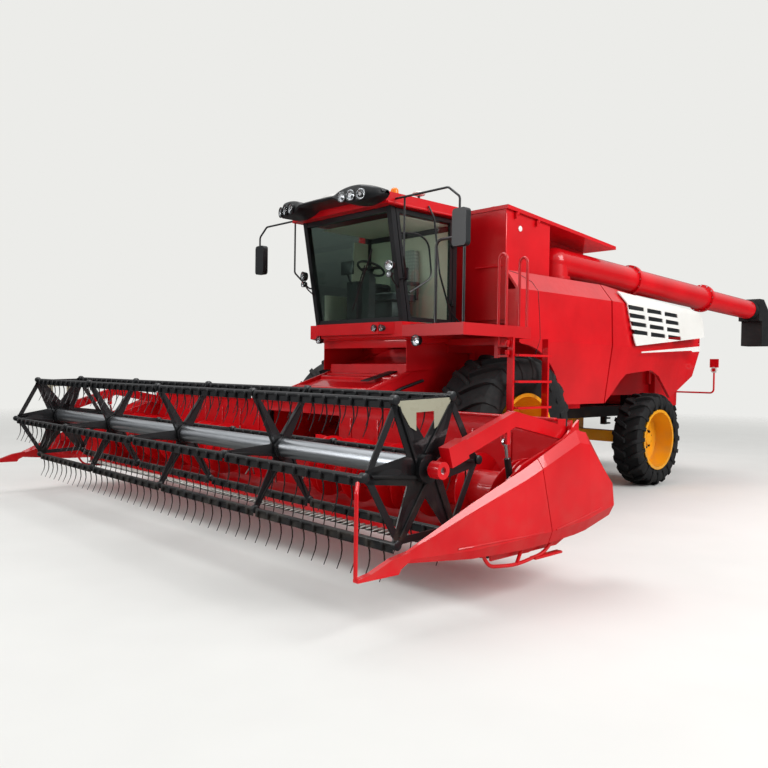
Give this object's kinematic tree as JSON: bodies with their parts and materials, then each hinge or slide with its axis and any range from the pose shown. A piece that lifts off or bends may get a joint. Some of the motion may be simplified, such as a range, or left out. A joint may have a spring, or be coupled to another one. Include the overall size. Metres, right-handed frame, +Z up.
{
  "type": "combine harvester",
  "caption": "Self-propelled combine harvester with a wide reel header, cab, grain tank, swinging unloading tube and steered rear wheels.",
  "frame": {"origin": "on the ground under the centre of the whole machine's bounding box", "axes": "+Z up, -Y the way the machine drives, +X its left side"},
  "size_m": [7.456, 11.733, 3.7798],
  "materials": {
    "red_paint": "gloss paint",
    "white_paint": "gloss paint",
    "black_paint": "satin paint",
    "grey_paint": "satin paint",
    "yellow_paint": "gloss paint",
    "steel": "bare steel",
    "chrome": "polished rod",
    "tyre": "matte rubber",
    "rubber": "matte rubber",
    "glass": "clear glass",
    "black_plastic": "matte",
    "seat_cloth": "woven"
  },
  "bodies": {
    "machine": {"chassis_frame": "black_paint", "front_axle": "black_paint", "rear_axle": "yellow_paint", "threshing_body": "red_paint", "grain_tank": "red_paint", "engine_block": "grey_paint", "engine_hood": "red_paint", "straw_hood": "red_paint", "straw_chopper": "black_paint", "rear_lamps": "red_paint", "unloading_elbow": "red_paint", "cab_floor": "red_paint", "cab_frame": "black_paint", "cab_roof": "red_paint", "roof_visor": "black_plastic", "cab_glass": "glass", "driver_seat": "seat_cloth", "driver_controls": "black_plastic", "platform": "red_paint", "mirrors": "black_plastic", "roof_lamps": "black_plastic"},
    "header": {"feeder_house": "red_paint", "header_trough": "red_paint", "end_shields": "red_paint", "knife_bar": "black_paint"},
    "auger": {"intake_auger": "red_paint"},
    "reel_support": {"reel_arms": "red_paint"},
    "reel_rotor": {"reel": "black_paint"},
    "lift_cylinder_barrels": {"lift_barrels": "black_paint"},
    "lift_cylinder_rods": {"lift_rods": "chrome"},
    "reel_cylinder_barrels": {"reel_barrels": "black_paint"},
    "reel_cylinder_rods": {"reel_rods": "chrome"},
    "tie_rod": {"tie_rod": "black_paint"},
    "door": {"cab_door": "black_paint", "door_glass": "glass"},
    "ladder": {"ladder": "red_paint"},
    "unloader": {"unloading_tube": "red_paint", "tube_spout": "rubber"},
    "tine_bar_1": {"tine_bar_1": "black_paint"},
    "tine_bar_2": {"tine_bar_2": "black_paint"},
    "tine_bar_3": {"tine_bar_3": "black_paint"},
    "tine_bar_4": {"tine_bar_4": "black_paint"},
    "tine_bar_5": {"tine_bar_5": "black_paint"},
    "tine_bar_6": {"tine_bar_6": "black_paint"},
    "front_wheel_left": {"front_rim_left": "yellow_paint", "front_tyre_left": "tyre"},
    "rear_wheel_left": {"rear_rim_left": "yellow_paint", "rear_tyre_left": "tyre"},
    "knuckle_left": {"knuckle_left": "yellow_paint"},
    "tank_lid_left": {"tank_lid_left": "red_paint"},
    "front_panel_left": {"front_panel_left": "red_paint"},
    "rear_panel_left": {"rear_panel_left": "red_paint"},
    "front_wheel_right": {"front_rim_right": "yellow_paint", "front_tyre_right": "tyre"},
    "rear_wheel_right": {"rear_rim_right": "yellow_paint", "rear_tyre_right": "tyre"},
    "knuckle_right": {"knuckle_right": "yellow_paint"},
    "tank_lid_right": {"tank_lid_right": "red_paint"},
    "front_panel_right": {"front_panel_right": "red_paint"},
    "rear_panel_right": {"rear_panel_right": "red_paint"}
  },
  "joints": [
    {"name": "front_wheel_left_spin", "type": "hinge", "parent": "machine", "child": "front_wheel_left", "pos_m": [1.36, -1.6135, 0.94], "axis": [1, 0, 0], "continuous": true},
    {"name": "front_wheel_right_spin", "type": "hinge", "parent": "machine", "child": "front_wheel_right", "pos_m": [-1.36, -1.6135, 0.94], "axis": [1, 0, 0], "continuous": true},
    {"name": "steer_left", "type": "hinge", "parent": "machine", "child": "knuckle_left", "pos_m": [0.985, 1.9265, 0.69], "axis": [0, 0, 1], "range_deg": [-38, 38]},
    {"name": "steer_right", "type": "hinge", "parent": "machine", "child": "knuckle_right", "pos_m": [-0.985, 1.9265, 0.69], "axis": [0, 0, 1], "range_deg": [-38, 38]},
    {"name": "tie_rod_pivot", "type": "hinge", "parent": "knuckle_left", "child": "tie_rod", "pos_m": [0.985, 2.1865, 0.726], "axis": [0, 0, 1], "range_deg": [-38, 38]},
    {"name": "rear_wheel_left_spin", "type": "hinge", "parent": "knuckle_left", "child": "rear_wheel_left", "pos_m": [1.3, 1.9265, 0.69], "axis": [1, 0, 0], "continuous": true},
    {"name": "rear_wheel_right_spin", "type": "hinge", "parent": "knuckle_right", "child": "rear_wheel_right", "pos_m": [-1.3, 1.9265, 0.69], "axis": [1, 0, 0], "continuous": true},
    {"name": "header_lift", "type": "hinge", "parent": "machine", "child": "header", "pos_m": [0, -1.3635, 1.72], "axis": [-1, 0, 0], "range_deg": [-5, 12]},
    {"name": "lift_barrel_pivot", "type": "hinge", "parent": "machine", "child": "lift_cylinder_barrels", "pos_m": [0.33, -1.8435, 0.8], "axis": [-1, 0, 0], "range_deg": [-7.9, 17.6]},
    {"name": "lift_rod_slide", "type": "slide", "parent": "lift_cylinder_barrels", "child": "lift_cylinder_rods", "axis": [0, -0.9935, -0.114], "range_m": [-0.087, 0.195]},
    {"name": "auger_spin", "type": "hinge", "parent": "header", "child": "auger", "pos_m": [0, -3.9435, 0.7], "axis": [1, 0, 0], "continuous": true},
    {"name": "reel_lift", "type": "hinge", "parent": "header", "child": "reel_support", "pos_m": [0, -3.4635, 1.16], "axis": [-1, 0, 0], "range_deg": [0, 18]},
    {"name": "reel_barrel_pivot", "type": "hinge", "parent": "header", "child": "reel_cylinder_barrels", "pos_m": [3.48, -4.1735, 0.54], "axis": [-1, 0, 0], "range_deg": [-1, 7.2]},
    {"name": "reel_rod_slide", "type": "slide", "parent": "reel_cylinder_barrels", "child": "reel_cylinder_rods", "axis": [0, -0.2237, 0.9747], "range_m": [-0.01, 0.265]},
    {"name": "reel_spin", "type": "hinge", "parent": "reel_support", "child": "reel_rotor", "pos_m": [0, -5.0335, 1], "axis": [1, 0, 0], "continuous": true},
    {"name": "tine_bar_1_turn", "type": "hinge", "parent": "reel_rotor", "child": "tine_bar_1", "pos_m": [0, -4.7706, 1.49445], "axis": [1, 0, 0], "continuous": true},
    {"name": "tine_bar_2_turn", "type": "hinge", "parent": "reel_rotor", "child": "tine_bar_2", "pos_m": [0, -5.33025, 1.47491], "axis": [1, 0, 0], "continuous": true},
    {"name": "tine_bar_3_turn", "type": "hinge", "parent": "reel_rotor", "child": "tine_bar_3", "pos_m": [0, -5.59316, 0.98046], "axis": [1, 0, 0], "continuous": true},
    {"name": "tine_bar_4_turn", "type": "hinge", "parent": "reel_rotor", "child": "tine_bar_4", "pos_m": [0, -5.2964, 0.50555], "axis": [1, 0, 0], "continuous": true},
    {"name": "tine_bar_5_turn", "type": "hinge", "parent": "reel_rotor", "child": "tine_bar_5", "pos_m": [0, -4.73675, 0.52509], "axis": [1, 0, 0], "continuous": true},
    {"name": "tine_bar_6_turn", "type": "hinge", "parent": "reel_rotor", "child": "tine_bar_6", "pos_m": [0, -4.47384, 1.01954], "axis": [1, 0, 0], "continuous": true},
    {"name": "cab_door_hinge", "type": "hinge", "parent": "machine", "child": "door", "pos_m": [0.814, -1.9585, 2.85], "axis": [0, 0, 1], "range_deg": [0, 70]},
    {"name": "ladder_swing", "type": "hinge", "parent": "machine", "child": "ladder", "pos_m": [1.802, -2.1435, 2.01], "axis": [0, 0, 1], "range_deg": [-90, 0]},
    {"name": "unloader_swing", "type": "hinge", "parent": "machine", "child": "unloader", "pos_m": [1.095, -0.2635, 2.89], "axis": [0, 0, -1], "range_deg": [0, 100]},
    {"name": "tank_left_lid_hinge", "type": "hinge", "parent": "machine", "child": "tank_lid_left", "pos_m": [1.342, -0.8135, 3.51302], "axis": [0, 0.9965, -0.0841], "range_deg": [0, 100]},
    {"name": "front_panel_left_hinge", "type": "hinge", "parent": "machine", "child": "front_panel_left", "pos_m": [1.336, -0.6135, 2.855], "axis": [0, -1, 0], "range_deg": [0, 50]},
    {"name": "rear_panel_left_hinge", "type": "hinge", "parent": "machine", "child": "rear_panel_left", "pos_m": [1.36971, 3.4605, 2.315], "axis": [0, 0, 1], "range_deg": [0, 70]},
    {"name": "tank_right_lid_hinge", "type": "hinge", "parent": "machine", "child": "tank_lid_right", "pos_m": [-1.342, -0.8135, 3.51302], "axis": [0, -0.9965, 0.0841], "range_deg": [0, 100]},
    {"name": "front_panel_right_hinge", "type": "hinge", "parent": "machine", "child": "front_panel_right", "pos_m": [-1.336, -0.6135, 2.855], "axis": [0, 1, 0], "range_deg": [0, 50]},
    {"name": "rear_panel_right_hinge", "type": "hinge", "parent": "machine", "child": "rear_panel_right", "pos_m": [-1.36971, 3.4605, 2.315], "axis": [0, 0, -1], "range_deg": [0, 70]}
  ],
  "couplings": [
    {"joint": "steer_right", "follows": "steer_left", "ratio": 1},
    {"joint": "tie_rod_pivot", "follows": "steer_left", "ratio": -1},
    {"joint": "lift_barrel_pivot", "follows": "header_lift", "ratio": 1.386},
    {"joint": "lift_rod_slide", "follows": "header_lift", "m_per_rad": 0.88445},
    {"joint": "reel_barrel_pivot", "follows": "reel_lift", "ratio": 0.34191},
    {"joint": "reel_rod_slide", "follows": "reel_lift", "m_per_rad": 0.81039},
    {"joint": "tine_bar_1_turn", "follows": "reel_spin", "ratio": -1},
    {"joint": "tine_bar_2_turn", "follows": "reel_spin", "ratio": -1},
    {"joint": "tine_bar_3_turn", "follows": "reel_spin", "ratio": -1},
    {"joint": "tine_bar_4_turn", "follows": "reel_spin", "ratio": -1},
    {"joint": "tine_bar_5_turn", "follows": "reel_spin", "ratio": -1},
    {"joint": "tine_bar_6_turn", "follows": "reel_spin", "ratio": -1}
  ]
}
